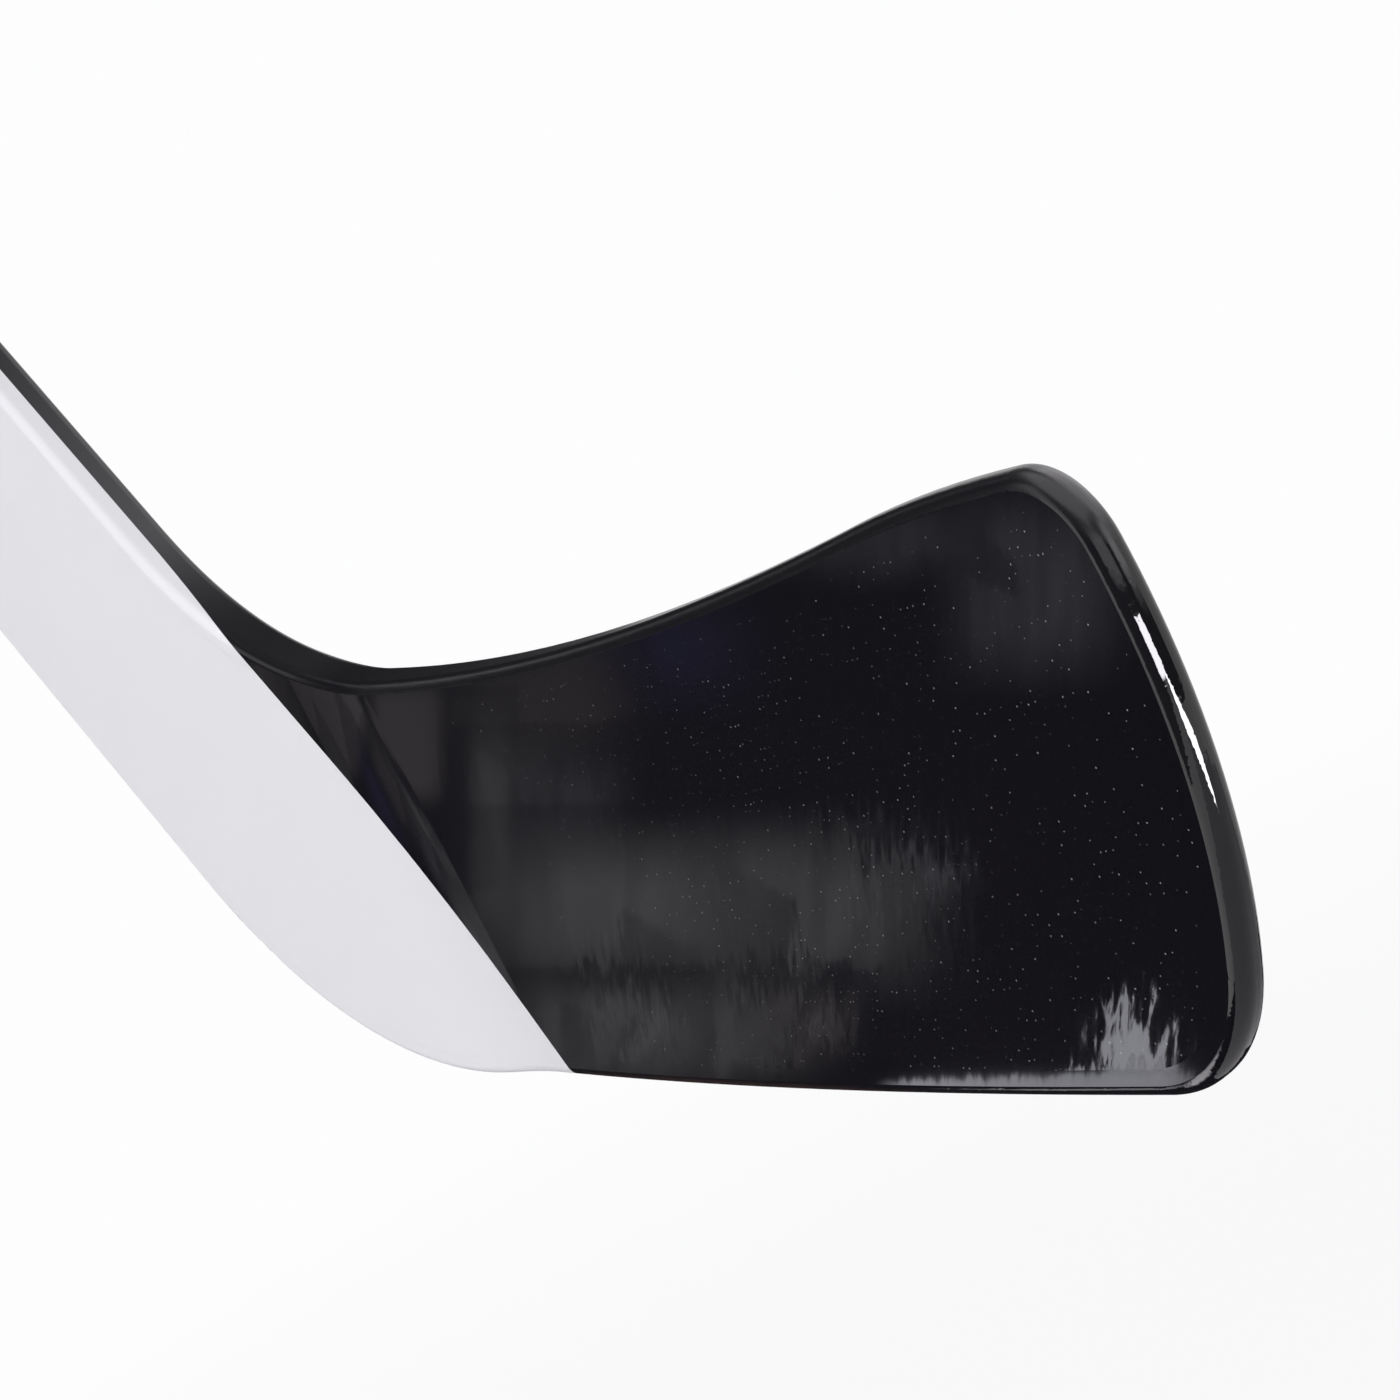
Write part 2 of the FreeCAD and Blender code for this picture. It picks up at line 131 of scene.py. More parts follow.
class NodeBoard:
    """A node tree with short calls that add nodes and join them."""

    def __init__(self, tree: bpy.types.NodeTree) -> None:
        """Empties the tree.

        Args:
            tree: the node tree of a material or of the world.
        """
        self.tree = tree
        tree.nodes.clear()

    def feed(self, socket: Socket, value: Value) -> None:
        """Joins a socket to another, or sets its own value.

        Args:
            socket: the input that is fed.
            value: an output socket, a number or a tuple.
        """
        if isinstance(value, bpy.types.NodeSocket):
            self.tree.links.new(value, socket)
        elif socket.type == "RGBA" and len(value) == 3:
            socket.default_value = (*value, 1.0)
        else:
            socket.default_value = value

    def add(self, kind: str, inputs: dict | None = None, **settings: object) -> bpy.types.Node:
        """Adds a node.

        Args:
            kind: the node's type name.
            inputs: values or sockets by input name or number.
            settings: the node's own properties.

        Returns:
            The new node.
        """
        node = self.tree.nodes.new(kind)
        for name, setting in settings.items():
            setattr(node, name, setting)
        for key, value in (inputs or {}).items():
            self.feed(node.inputs[key], value)
        return node

    def math(self, operation: str, first: Value, second: Value) -> Socket:
        """Number worked out from two numbers, by the operation's name."""
        return self.add("ShaderNodeMath", {0: first, 1: second}, operation=operation).outputs[0]

    def measure(self, operation: str, first: Value, second: Value = (0.0, 0.0, 0.0)) -> Socket:
        """Number worked out from two vectors, by the operation's name."""
        return self.add("ShaderNodeVectorMath", {0: first, 1: second}, operation=operation).outputs["Value"]

    def along(self, place: Socket, direction: Place) -> Socket:
        """How far a place lies in a direction."""
        return self.measure("DOT_PRODUCT", place, direction)

    def step(self, value: Value, low: float, high: float) -> Socket:
        """Smooth rise from 0 at low to 1 at high."""
        inputs = {"Value": value, "From Min": low, "From Max": high}
        return self.add("ShaderNodeMapRange", inputs, interpolation_type="SMOOTHSTEP").outputs[0]

    def span(self, value: Value, low: float, high: float) -> Socket:
        """A share from 0 to 1 stretched to run from low to high."""
        return self.add("ShaderNodeMapRange", {"Value": value, "To Min": low, "To Max": high}).outputs[0]

    def blend(self, share: Value, first: Value, second: Value, mixed: Mixed = Mixed.COLOUR) -> Socket:
        """A colour, number or direction between two others.

        Args:
            share: 0 for the first, up to 1 for the second.
            first: what the share starts from.
            second: what the share leads to.
            mixed: what is blended.

        Returns:
            The blend.
        """
        data_type, start, output = mixed.value
        inputs = {0: share, start: first, start + 1: second}
        return self.add("ShaderNodeMix", inputs, data_type=data_type).outputs[output]

    def place(self) -> Socket:
        """Object coordinates, which are metres in the CAD frame."""
        return self.add("ShaderNodeTexCoord").outputs["Object"]

    def mapped(self, place: Socket, scale: Place, turn: float = 0.0) -> Socket:
        """Coordinates turned about Y and stretched.

        Args:
            place: coordinates to start from.
            scale: stretch along each axis, after the turn.
            turn: angle about Y, in radians.

        Returns:
            The mapped coordinates.
        """
        turned = self.add("ShaderNodeMapping", {"Vector": place, "Rotation": (0.0, turn, 0.0)})
        return self.add("ShaderNodeMapping", {"Vector": turned.outputs[0], "Scale": scale}).outputs[0]

    def noise(self, place: Socket, noise: Noise) -> Socket:
        """Soft noise from 0 to 1."""
        inputs = {"Vector": place, "Scale": noise.waves, "Detail": noise.layers}
        return self.add("ShaderNodeTexNoise", inputs).outputs[0]

    def grain(self, place: Socket, grain: Grain) -> Socket:
        """Noise from 0 to 1 that is drawn out in one direction."""
        return self.noise(self.mapped(place, grain.waves, grain.turn), Noise(1.0, grain.layers))

    def bump(self, height: Socket, depth: float) -> Socket:
        """Normal of a height pattern with the given depth in metres."""
        inputs = {"Height": height, "Distance": depth, "Strength": 1.0}
        return self.add("ShaderNodeBump", inputs).outputs[0]

    def tilt(self, amount: Socket, direction: Place) -> Socket:
        """Surface normal leant a little in one direction.

        Args:
            amount: how far it leans, as a share of the normal's length.
            direction: where it leans to.

        Returns:
            The leant normal.
        """
        lean = self.add("ShaderNodeVectorMath", {0: direction, "Scale": amount}, operation="SCALE")
        normal = self.add("ShaderNodeNewGeometry").outputs["Normal"]
        total = self.add("ShaderNodeVectorMath", {0: normal, 1: lean.outputs[0]}, operation="ADD")
        return self.add("ShaderNodeVectorMath", {0: total.outputs[0]}, operation="NORMALIZE").outputs[0]


@dataclass(frozen=True)
class Finish:
    """A finish with its name; each kind of finish paints its own nodes."""

    name: str

    def paint(self, board: NodeBoard) -> Socket:
        """Adds the finish's nodes and returns its shader."""
        raise NotImplementedError

    def material(self) -> bpy.types.Material:
        """Makes the finish's material the first time it is asked for.

        Returns:
            The material.
        """
        made = bpy.data.materials.get(self.name)
        if made is None:
            made = bpy.data.materials.new(self.name)
            made.use_nodes = True
            board = NodeBoard(made.node_tree)
            shader = self.paint(board)
            board.add("ShaderNodeOutputMaterial", {"Surface": shader})
        return made


@dataclass(frozen=True)
class Layers:
    """What a coat of lacquer feeds to its shader."""

    colour: Socket
    roughness: Socket
    normal: Socket

    def shader(self, board: NodeBoard, ior: float) -> Socket:
        """The coat's shader, with its refraction set on the shader itself."""
        inputs = {"Base Color": self.colour, "Roughness": self.roughness, "Normal": self.normal, "IOR": ior}
        return board.add("ShaderNodeBsdfPrincipled", inputs).outputs[0]


@dataclass(frozen=True)
class Dust:
    """Sparse bright specks of dust on a lacquer, one at most in each cell."""

    cell: float = 1.7 * MM
    size: float = 0.14 * MM
    share: float = 0.50
    starts: float = 120.0 * MM
    full: float = 300.0 * MM

    def mask(self, board: NodeBoard, place: Socket) -> Socket:
        """Where a speck lies, with more of them towards the toe.

        Args:
            board: the node tree.
            place: coordinates in metres.

        Returns:
            1 on a speck and 0 elsewhere.
        """
        face_up = (math.pi / 2, 0.0, 0.0)
        flat = board.add("ShaderNodeMapping", {"Vector": place, "Rotation": face_up}).outputs[0]
        spread = {"Vector": flat, "Scale": 1.0 / self.cell}
        cells = board.add("ShaderNodeTexVoronoi", spread, voronoi_dimensions="2D")
        random = board.add("ShaderNodeSeparateColor", {"Color": cells.outputs["Color"]}).outputs
        bulk = board.math("MULTIPLY", random["Green"], random["Green"])
        reach = board.math("MULTIPLY", bulk, self.size / self.cell)
        inside = board.math("LESS_THAN", cells.outputs["Distance"], reach)
        toe_side = board.step(board.along(place, TO_THE_TOE), self.starts, self.full)
        chosen = board.math("LESS_THAN", random["Red"], board.math("MULTIPLY", toe_side, self.share))
        return board.math("MULTIPLY", inside, chosen)


@dataclass(frozen=True)
class BlackLacquer(Finish):
    """Gloss black lacquer over fibres that rise to the toe and show where it is scuffed.

    A scuff is given by its distance from the heel and its height above the ice, in millimetres.
    The lacquer may be rubbed dull where it looks up, from one upward share of its normal to another.
    """

    name: str = "black_gloss_lacquer"
    dark: Colour = (0.0040, 0.0039, 0.0064)
    warm: Colour = (0.0062, 0.0054, 0.0066)
    clouds: Noise = Noise(14.0, 3.0)
    dust: Dust = Dust()
    dust_colour: Colour = (0.28, 0.28, 0.30)
    fibre_turn: float = math.radians(45.0)
    fibre_waves: tuple[float, float, float] = (620.0, 620.0, 48.0)
    fibre_layers: float = 6.0
    patches: Noise = Noise(30.0)
    least_swell: float = 0.2
    most_swell: float = 1.8
    smooth_lean: float = 0.007
    scuff_lean: float = 0.045
    scuff_size: float = 34.0 * MM
    scuffs: tuple[tuple[float, float], ...] = ((169.0, 15.0), (246.0, 14.0), (314.0, 40.0), (357.0, 13.0))
    gloss: float = 0.018
    haze: float = 0.050
    dull: float = 0.0
    dull_starts: float = 0.03
    dull_full: float = 0.16
    ior: float = 1.52

    def layers(self, board: NodeBoard, place: Socket) -> Layers:
        """Adds the lacquer's nodes.

        Args:
            board: the node tree.
            place: coordinates in metres.

        Returns:
            The lacquer's layers.
        """
        base = board.blend(board.noise(place, self.clouds), self.dark, self.warm)
        colour = board.blend(self.dust.mask(board, place), base, self.dust_colour)
        fibres = board.grain(place, Grain(self.fibre_waves, self.fibre_layers, -self.fibre_turn))
        normal = self.leant(board, place, fibres)
        looks_up = board.step(board.along(normal, UP), self.dull_starts, self.dull_full)
        rubbed = board.math("MULTIPLY", looks_up, self.dull)
        roughness = board.math("MAXIMUM", board.span(fibres, self.gloss, self.haze), rubbed)
        return Layers(colour, roughness, normal)

    def leant(self, board: NodeBoard, place: Socket, fibres: Socket) -> Socket:
        """Leans the surface along its fibres, little where it is smooth and more in its scuffs.

        Args:
            board: the node tree.
            place: coordinates in metres.
            fibres: the fibres' pattern, from 0 to 1.

        Returns:
            The leant normal.
        """
        swell = board.span(board.noise(place, self.patches), self.least_swell, self.most_swell)
        uneven = board.math("MULTIPLY", board.math("SUBTRACT", fibres, NOISE_MIDDLE), swell)
        lean = board.span(self.scuffed(board, place), self.smooth_lean, self.scuff_lean)
        fibre_way = (math.sin(self.fibre_turn), 0.0, math.cos(self.fibre_turn))
        return board.tilt(board.math("MULTIPLY", uneven, lean), fibre_way)

    def scuffed(self, board: NodeBoard, place: Socket) -> Value:
        """How scuffed the lacquer is.

        Args:
            board: the node tree.
            place: coordinates in metres.

        Returns:
            1 in the middle of a scuff, down to 0 round it.
        """
        flat = board.mapped(place, (1.0, 0.0, 1.0))
        share = 0.0
        for along, height in self.scuffs:
            away = board.measure("DISTANCE", flat, (along * MM, 0.0, height * MM))
            share = board.math("MAXIMUM", share, board.step(away, self.scuff_size, self.scuff_size / 2))
        return share

    def paint(self, board: NodeBoard) -> Socket:
        """Adds the lacquer's nodes and returns its shader."""
        return self.layers(board, board.place()).shader(board, self.ior)


NO_DUST = Dust(share=0.0)
CLEAN_BLACK = BlackLacquer("clean_black_lacquer", dust=NO_DUST, scuffs=())
RUBBED_BLACK = BlackLacquer("rubbed_black_lacquer", dust=NO_DUST, scuffs=(), dull=0.28)


@dataclass(frozen=True)
class WhiteLacquer(Finish):
    """Satin white paint with a faint cool tint."""

    name: str = "white_satin_lacquer"
    light: Colour = (0.80, 0.795, 0.825)
    shade: Colour = (0.765, 0.760, 0.795)
    clouds: Noise = Noise(9.0, 3.0)
    wear: Noise = Noise(40.0, 4.0)
    satin: float = 0.34
    worn: float = 0.46
    peel: Noise = Noise(650.0)
    peel_depth: float = 0.012 * MM
    ior: float = 1.48

    def layers(self, board: NodeBoard, place: Socket) -> Layers:
        """Adds the paint's nodes.

        Args:
            board: the node tree.
            place: coordinates in metres.

        Returns:
            The paint's layers.
        """
        colour = board.blend(board.noise(place, self.clouds), self.light, self.shade)
        roughness = board.span(board.noise(place, self.wear), self.satin, self.worn)
        normal = board.bump(board.noise(place, self.peel), self.peel_depth)
        return Layers(colour, roughness, normal)

    def paint(self, board: NodeBoard) -> Socket:
        """Adds the paint's nodes and returns its shader."""
        return self.layers(board, board.place()).shader(board, self.ior)


@dataclass(frozen=True)
class PaintedEdge(Finish):
    """Edge band in black lacquer, white where the face's paint wraps over it."""

    name: str = "painted_edge"
    black: BlackLacquer = RUBBED_BLACK
    white: WhiteLacquer = WhiteLacquer()
    soft_line: float = 0.15 * MM

    def paint(self, board: NodeBoard) -> Socket:
        """Adds both paints' nodes.

        Args:
            board: the node tree.

        Returns:
            The edge's shader.
        """
        place = board.place()
        share = self.mask(board, place)
        under = self.black.layers(board, place)
        over = self.white.layers(board, place)
        colour = board.blend(share, under.colour, over.colour)
        roughness = board.blend(share, under.roughness, over.roughness, Mixed.NUMBER)
        normal = board.blend(share, under.normal, over.normal, Mixed.DIRECTION)
        return Layers(colour, roughness, normal).shader(board, self.black.ior)

    def mask(self, board: NodeBoard, place: Socket) -> Socket:
        """Where the white paint of the forehand face reaches round the edge.

        Args:
            board: the node tree.
            place: coordinates in metres.

        Returns:
            1 on the white side and 0 on the black one.
        """
        across = STICK.across
        depth = board.along(place, TO_THE_BACK)
        behind = board.math("MAXIMUM", board.math("ADD", depth, STICK.half_thickness), 0.0)
        drift = board.math("MULTIPLY", behind, STICK.paint_slant)
        reach = board.math("ADD", board.along(place, tuple(across)), drift)
        border = STICK.paint_line + STICK.sole_rocker * across.z
        inside = board.step(reach, border + self.soft_line, border - self.soft_line)
        front = board.step(depth, STICK.paint_back + self.soft_line, STICK.paint_back - self.soft_line)
        return board.math("MULTIPLY", inside, front)


@dataclass(frozen=True)
class SoleEdge(Finish):
    """Black lacquer worn to a brown line along the ice."""

    name: str = "sole_edge"
    black: BlackLacquer = CLEAN_BLACK
    brown: Colour = (0.110, 0.055, 0.042)
    patches: Noise = Noise(70.0, 3.0)
    worn_height: float = 2.6 * MM

    def paint(self, board: NodeBoard) -> Socket:
        """Adds the lacquer's nodes.

        Args:
            board: the node tree.

        Returns:
            The edge's shader.
        """
        place = board.place()
        coat = self.black.layers(board, place)
        low = board.step(board.along(place, UP), self.worn_height, 0.0)
        worn = board.math("MULTIPLY", low, board.noise(place, self.patches))
        colour = board.blend(worn, coat.colour, self.brown)
        return Layers(colour, coat.roughness, coat.normal).shader(board, self.black.ior)


@dataclass(frozen=True)
class Foam(Finish):
    """Rigid foam with fine closed cells."""

    name: str = "core_foam"
    light: Colour = (0.62, 0.55, 0.38)
    shade: Colour = (0.46, 0.39, 0.25)
    cell: float = 0.8 * MM
    cell_depth: float = 0.2 * MM
    smooth: float = 0.75
    rough: float = 0.95

    def paint(self, board: NodeBoard) -> Socket:
        """Adds the foam's nodes.

        Args:
            board: the node tree.

        Returns:
            The foam's shader.
        """
        spread = {"Vector": board.place(), "Scale": 1.0 / self.cell}
        cells = board.add("ShaderNodeTexVoronoi", spread).outputs["Distance"]
        inputs = {
            "Base Color": board.blend(cells, self.shade, self.light),
            "Roughness": board.span(cells, self.smooth, self.rough),
            "Normal": board.bump(cells, self.cell_depth),
        }
        return board.add("ShaderNodeBsdfPrincipled", inputs).outputs[0]


@dataclass(frozen=True)
class Wood(Finish):
    """Wood whose grain runs along the paddle and handle, bare or under lacquer."""

    name: str = "bare_wood_core"
    light: Colour = (0.50, 0.34, 0.19)
    shade: Colour = (0.33, 0.20, 0.10)
    gloss: float = 0.45
    haze: float = 0.70
    patches: Noise = Noise(30.0, 3.0)
    grain: Grain = Grain((520.0, 520.0, 9.0), 4.0, STICK.lie - math.pi / 2)
    grain_depth: float = 0.05 * MM

    def paint(self, board: NodeBoard) -> Socket:
        """Adds the wood's nodes.

        Args:
            board: the node tree.

        Returns:
            The wood's shader.
        """
        place = board.place()
        grain = board.grain(place, self.grain)
        inputs = {
            "Base Color": board.blend(grain, self.shade, self.light),
            "Roughness": board.span(board.noise(place, self.patches), self.gloss, self.haze),
            "Normal": board.bump(grain, self.grain_depth),
        }
        return board.add("ShaderNodeBsdfPrincipled", inputs).outputs[0]


@dataclass(frozen=True)
class CarbonWeave(Finish):
    """Woven carbon fibre in clear resin."""

    name: str = "carbon_weave"
    dark: Colour = (0.012, 0.012, 0.013)
    light: Colour = (0.045, 0.045, 0.048)
    strand: float = 2.0 * MM
    threads: Grain = Grain((300.0, 300.0, 3000.0))
    thread_depth: float = 0.05 * MM
    gloss: float = 0.25
    haze: float = 0.45

    def paint(self, board: NodeBoard) -> Socket:
        """Adds the weave's nodes.

        Args:
            board: the node tree.

        Returns:
            The weave's shader.
        """
        place = board.place()
        weave = {"Vector": place, "Scale": 1.0 / self.strand, "Color1": self.dark, "Color2": self.light}
        threads = board.grain(place, self.threads)
        inputs = {
            "Base Color": board.add("ShaderNodeTexChecker", weave).outputs["Color"],
            "Roughness": board.span(threads, self.gloss, self.haze),
            "Normal": board.bump(threads, self.thread_depth),
        }
        return board.add("ShaderNodeBsdfPrincipled", inputs).outputs[0]


@dataclass(frozen=True)
class MouldedRubber(Finish):
    """Matt black moulded rubber with a fine grain."""

    name: str = "moulded_rubber"
    dark: Colour = (0.014, 0.014, 0.015)
    worn: Colour = (0.032, 0.032, 0.033)
    patches: Noise = Noise(90.0, 4.0)
    smooth: float = 0.50
    rough: float = 0.72
    pores: Noise = Noise(1400.0)
    pore_depth: float = 0.06 * MM

    def paint(self, board: NodeBoard) -> Socket:
        """Adds the rubber's nodes.

        Args:
            board: the node tree.

        Returns:
            The rubber's shader.
        """
        place = board.place()
        patches = board.noise(place, self.patches)
        inputs = {
            "Base Color": board.blend(patches, self.dark, self.worn),
            "Roughness": board.span(patches, self.smooth, self.rough),
            "Normal": board.bump(board.noise(place, self.pores), self.pore_depth),
        }
        return board.add("ShaderNodeBsdfPrincipled", inputs).outputs[0]


WHITE = WhiteLacquer()
BLACK = BlackLacquer()
PAINTED_EDGE = PaintedEdge()
SOLE_EDGE = SoleEdge()
FOAM = Foam()
BARE_WOOD = Wood()
LACQUERED_WOOD = Wood(
    "lacquered_wood",
    light=(0.020, 0.019, 0.020),
    shade=(0.011, 0.011, 0.012),
    gloss=0.16,
    haze=0.34,
    grain_depth=0.02 * MM,
)
CARBON = CarbonWeave()
RUBBER = MouldedRubber()


class Carver:
    """Edit-mode modelling of one piece, with faces and edges picked by place."""

    def __init__(self, name: str) -> None:
        """Starts the piece from a cube of 1 m and enters edit mode.

        Args:
            name: the piece's name.
        """
        bpy.ops.object.select_all(action="DESELECT")
        bpy.ops.mesh.primitive_cube_add(size=1.0)
        self.piece = bpy.context.object
        self.piece.name = name
        self.piece.data.name = name
        bpy.ops.object.mode_set(mode="EDIT")

    def pick_faces(self, test: Callable[[bpy.types.MeshPolygon], bool]) -> None:
        """Selects the faces that pass a test, and nothing else."""
        self.pick("FACE", lambda mesh: [polygon for polygon in mesh.polygons if test(polygon)])

    def pick_edges(self, test: Callable[[Vector, Vector], bool]) -> None:
        """Selects the edges whose two ends pass a test, and nothing else.

        Args:
            test: tells from an edge's two ends whether it is selected.
        """
        self.pick("EDGE", lambda mesh: [
            edge for edge in mesh.edges if test(*(mesh.vertices[end].co for end in edge.vertices))
        ])

    def pick(self, kind: str, chosen: Callable[[bpy.types.Mesh], list]) -> None:
        """Selects what a function chooses from the mesh.

        Args:
            kind: FACE or EDGE.
            chosen: gives the faces or edges to select.
        """
        bpy.ops.mesh.select_mode(type=kind)
        bpy.ops.mesh.select_all(action="DESELECT")
        bpy.ops.object.mode_set(mode="OBJECT")
        for item in chosen(self.piece.data):
            item.select = True
        bpy.ops.object.mode_set(mode="EDIT")

    def finish(self, place: Matrix, smooth_below: float) -> bpy.types.Object:
        """Leaves edit mode and puts the mesh in its place, with the piece itself at the origin.

        Args:
            place: where the mesh goes.
            smooth_below: faces that meet at less than this angle shade smoothly.

        Returns:
            The piece.
        """
        bpy.ops.mesh.select_all(action="SELECT")
        bpy.ops.mesh.normals_make_consistent(inside=False)
        bpy.ops.object.mode_set(mode="OBJECT")
        bpy.ops.object.shade_smooth_by_angle(angle=smooth_below)
        self.piece.data.transform(place)
        return self.piece


@dataclass
class SubAssembly:
    """A group of pieces that belong together, with the finish of each CAD node."""

    finishes: dict[str, Finish] = field(default_factory=dict)

    def build(self) -> None:
        """Models the pieces that the frame doesn't have."""

    def dress(self) -> None:
        """Gives each of its CAD nodes its finish."""
        for name, finish in self.finishes.items():
            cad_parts[name].material_slots[0].material = finish.material()
            LOG.info("dressed %s in %s", name, finish.name)


@dataclass
class Blade(SubAssembly):
    """The blade's faces, edges and core."""

    finishes: dict[str, Finish] = field(default_factory=lambda: {
        "blade_front_skin": BLACK,
        "blade_back_skin": BLACK,
        "blade_top_edge": RUBBED_BLACK,
        "sole_edge": SOLE_EDGE,
        "toe_edge": RUBBED_BLACK,
        "blade_upper_foam": FOAM,
        "blade_lower_foam": FOAM,
        "blade_rib": CARBON,
    })


@dataclass
class Heel(SubAssembly):
    """The heel's block and the edges round the heel and the throat."""

    finishes: dict[str, Finish] = field(default_factory=lambda: {
        "heel_block": BARE_WOOD,
        "heel_edge": PAINTED_EDGE,
        "throat_edge": PAINTED_EDGE,
    })


@dataclass
class Paddle(SubAssembly):
    """The paddle's faces, edges, fillers and shoulders."""

    finishes: dict[str, Finish] = field(default_factory=lambda: {
        "paddle_front_skin": WHITE,
        "paddle_back_skin": WHITE,
        "paddle_inner_edge": PAINTED_EDGE,
        "paddle_outer_edge": PAINTED_EDGE,
        "paddle_inner_foam": FOAM,
        "paddle_outer_foam": FOAM,
        "paddle_inner_shoulder": LACQUERED_WOOD,
        "paddle_outer_shoulder": LACQUERED_WOOD,
    })


@dataclass
class Handle(SubAssembly):
    """The handle's plies and the cap on its end."""

    cap_size: Vector = field(default_factory=lambda: Vector((30.0, 20.0, 20.0)) * MM)
    cap_start: float = 1460.0 * MM
    cap_corner: float = 4.0 * MM
    corner_segments: int = 8
    cap_rim: float = 2.6 * MM
    rim_segments: int = 6
    groove_heights: tuple[float, ...] = (4.0 * MM, 7.5 * MM, 11.0 * MM)
    groove_width: float = 1.4 * MM
    groove_depth: float = 0.8 * MM
    panel_margin: float = 3.3 * MM
    panel_depth: float = 0.9 * MM
    panel_slope: float = 0.3 * MM
    flat_within: float = 0.01 * MM
    smooth_below: float = math.radians(35.0)
    finishes: dict[str, Finish] = field(default_factory=lambda: {
        "handle_core": LACQUERED_WOOD,
        "handle_front_ply": LACQUERED_WOOD,
        "handle_back_ply": LACQUERED_WOOD,
    })

    def build(self) -> None:
        """Models the moulded cap with its grooves and sunk end."""
        cap = Carver("moulded_butt_cap")
        self.round_block(cap)
        for height in self.groove_heights:
            self.cut_groove(cap, height)
        self.sink_panel(cap)
        piece = cap.finish(STICK.up_paddle(self.cap_start), self.smooth_below)
        piece.data.materials.append(RUBBER.material())
        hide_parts("butt_cap")
        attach(piece, BODY)
        LOG.info("modelled %s", piece.name)

    def round_block(self, cap: Carver) -> None:
        """Sizes the block and rounds its corners and end rim.

        Args:
            cap: the cap, as a cube round the origin.
        """
        bpy.ops.transform.resize(value=self.cap_size)
        bpy.ops.transform.translate(value=(0.0, 0.0, self.cap_size.z / 2))
        cap.pick_edges(lambda start, end: abs(start.z - end.z) > self.cap_size.z / 2)
        bpy.ops.mesh.bevel(offset=self.cap_corner, segments=self.corner_segments)
        top = self.cap_size.z - self.flat_within
        cap.pick_edges(lambda start, end: min(start.z, end.z) > top)
        bpy.ops.mesh.bevel(offset=self.cap_rim, segments=self.rim_segments)

    def cut_groove(self, cap: Carver, height: float) -> None:
        """Cuts a shallow groove round the cap.

        Args:
            cap: the cap, with its lower end at the origin.
            height: where the groove starts above that end.
        """
        for level in (height, height + self.groove_width):
            bpy.ops.mesh.select_all(action="SELECT")
            bpy.ops.mesh.bisect(plane_co=(0.0, 0.0, level), plane_no=UP)
        middle = height + self.groove_width / 2
        cap.pick_faces(lambda face: abs(face.center.z - middle) < self.groove_width / 4)
        bpy.ops.mesh.extrude_region_shrink_fatten(TRANSFORM_OT_shrink_fatten={"value": -self.groove_depth})

    def sink_panel(self, cap: Carver) -> None:
        """Sinks a flat panel into the cap's end.

        Args:
            cap: the cap, with its lower end at the origin.
        """
        top = self.cap_size.z - self.flat_within
        cap.pick_faces(lambda face: face.center.z > top)
        bpy.ops.mesh.inset(thickness=self.panel_margin - self.cap_rim)
        bpy.ops.mesh.inset(thickness=self.panel_slope, depth=-self.panel_depth)


class CardShape(Enum):
    """Outline of a studio card's light."""

    SQUARE = "square"
    WEDGE = "wedge"


@dataclass(frozen=True)
class Glow(Finish):
    """Light of a studio card that fades out to its borders, even or in upright streaks."""

    name: str
    colour: Colour
    strength: float = 1.0
    fade: float = 0.0
    streaks: float = 0.0
    shape: CardShape = CardShape.SQUARE
    streak_grain: Grain = Grain((16.0, 1.6, 1.0), 4.0)
    streak_dark: float = 0.38
    streak_light: float = 0.62

    def paint(self, board: NodeBoard) -> Socket:
        """Adds the card's nodes.

        Args:
            board: the node tree.

        Returns:
            The card's shader.
        """
        inputs = {"Color": self.colour, "Strength": self.strength}
        light = board.add("ShaderNodeEmission", inputs).outputs[0]
        if not self.fade:
            return light
        clear = board.add("ShaderNodeBsdfTransparent").outputs[0]
        return board.add("ShaderNodeMixShader", {0: self.mask(board), 1: clear, 2: light}).outputs[0]

    def mask(self, board: NodeBoard) -> Socket:
        """How much of the light each spot of the card gives.

        Args:
            board: the node tree.

        Returns:
            1 inside the card, down to 0 at its borders and between its streaks.
        """
        flat = board.add("ShaderNodeTexCoord").outputs["UV"]
        across, up, _ = board.add("ShaderNodeSeparateXYZ", {0: flat}).outputs
        share = 1.0
        if self.shape is CardShape.WEDGE:
            share = board.step(board.math("SUBTRACT", across, up), 0.0, self.fade)
        for spot in (across, up):
            share = board.math("MULTIPLY", share, board.step(spot, 0.0, self.fade))
            share = board.math("MULTIPLY", share, board.step(spot, 1.0, 1.0 - self.fade))
        if self.streaks:
            bright = board.step(board.grain(flat, self.streak_grain), self.streak_dark, self.streak_light)
            share = board.math("MULTIPLY", share, board.span(bright, 1.0 - self.streaks, 1.0))
        return share


@dataclass(frozen=True)
class FloorPaint(Finish):
    """Pale floor that the camera and mirrors see as white, and that keeps a soft shadow near the stick."""

    name: str = "floor_paint"
    colour: Colour = (0.82, 0.82, 0.83)
    near: float = 0.8
    far: float = 2.5
    shadow_share: float = 0.15

    def paint(self, board: NodeBoard) -> Socket:
        """Adds the floor's nodes.

        Args:
            board: the node tree.

        Returns:
            The floor's shader.
        """
        paint = board.add("ShaderNodeBsdfDiffuse", {"Color": self.colour}).outputs[0]
        white = board.add("ShaderNodeEmission", {"Color": STUDIO_WHITE}).outputs[0]
        away = board.measure("LENGTH", board.place())
        kept = board.math("MULTIPLY", board.step(away, self.far, self.near), self.shadow_share)
        seen = board.add("ShaderNodeMixShader", {0: kept, 1: white, 2: paint}).outputs[0]
        return board.add("ShaderNodeMixShader", {0: seen_share(board), 1: paint, 2: seen}).outputs[0]


